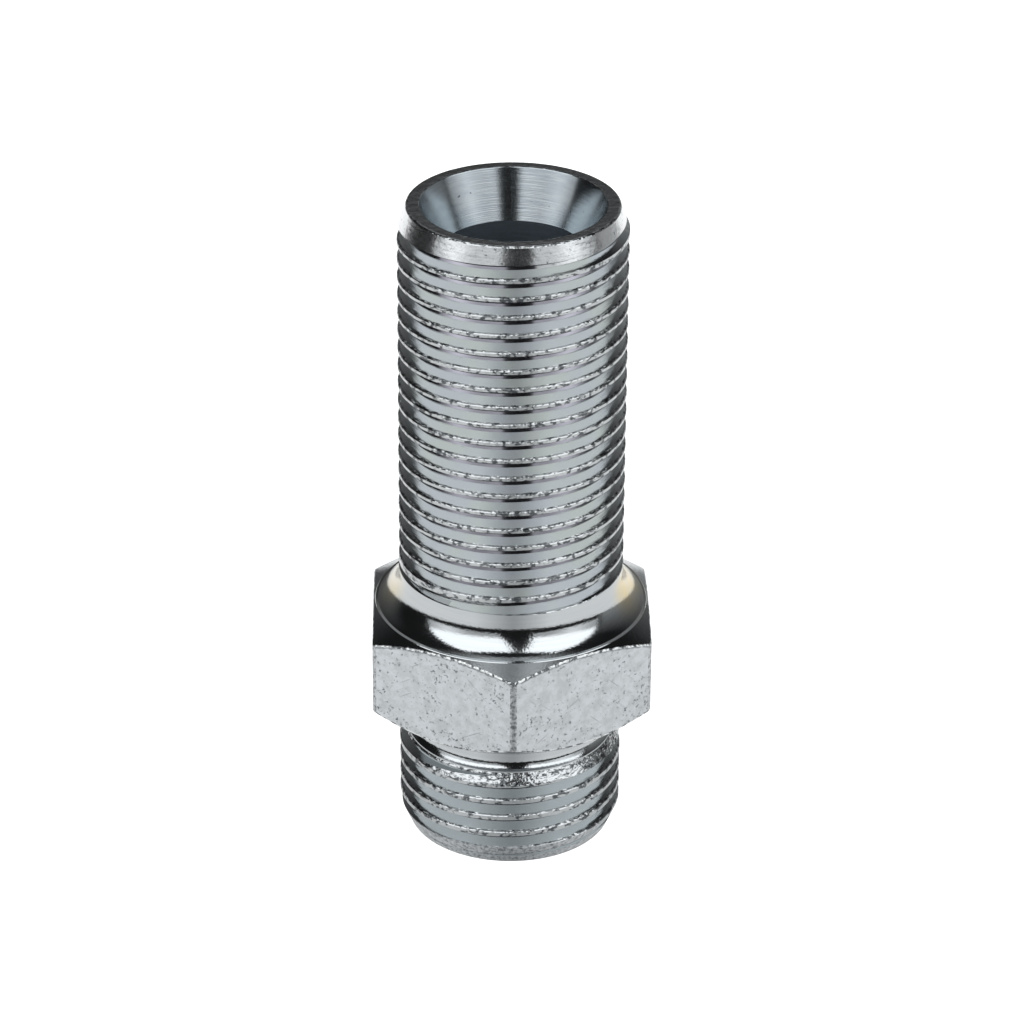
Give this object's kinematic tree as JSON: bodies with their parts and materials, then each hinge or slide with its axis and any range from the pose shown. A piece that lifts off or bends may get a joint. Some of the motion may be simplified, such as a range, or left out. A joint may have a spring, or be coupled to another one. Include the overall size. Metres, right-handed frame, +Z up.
{
  "type": "straight male hydraulic fitting",
  "caption": "Straight steel hydraulic fitting with a long and a short parallel male thread, a hexagon between them, a coned mouth and a through bore.",
  "frame": {"origin": "centre of the short threaded end's face, on the bore's axis", "axes": "+Z up along the bore from the short end to the coned mouth; -Y faces the hexagon's front edge"},
  "size_m": [0.022, 0.0254, 0.0539],
  "materials": {
    "zinc_plated_steel": "zinc plated, clear passivated, semi-bright"
  },
  "bodies": {
    "root": {"fitting_body": "zinc_plated_steel"}
  },
  "joints": []
}
